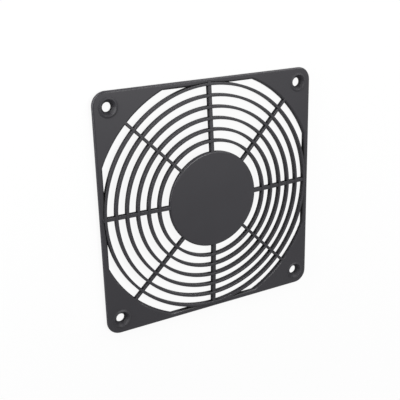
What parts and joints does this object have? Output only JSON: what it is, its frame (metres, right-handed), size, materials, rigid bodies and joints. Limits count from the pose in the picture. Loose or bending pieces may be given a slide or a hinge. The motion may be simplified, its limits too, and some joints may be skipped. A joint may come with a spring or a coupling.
{
  "type": "fan finger guard",
  "caption": "Square moulded fan guard with a shallow domed grille of concentric rings and straight spokes around a centre disc, and countersunk screw holes in its corner plates.",
  "frame": {"origin": "centre of the guard on the plane of the pads behind its screw holes, which sit on the fan", "axes": "+X and +Y along the frame's sides, +Z out of the guard's front, away from the fan"},
  "size_m": [0.12, 0.12, 0.0049],
  "materials": {
    "guard_plastic": "moulded black plastic with a fine satin texture"
  },
  "bodies": {
    "root": {"finger_guard": "guard_plastic"}
  },
  "joints": []
}
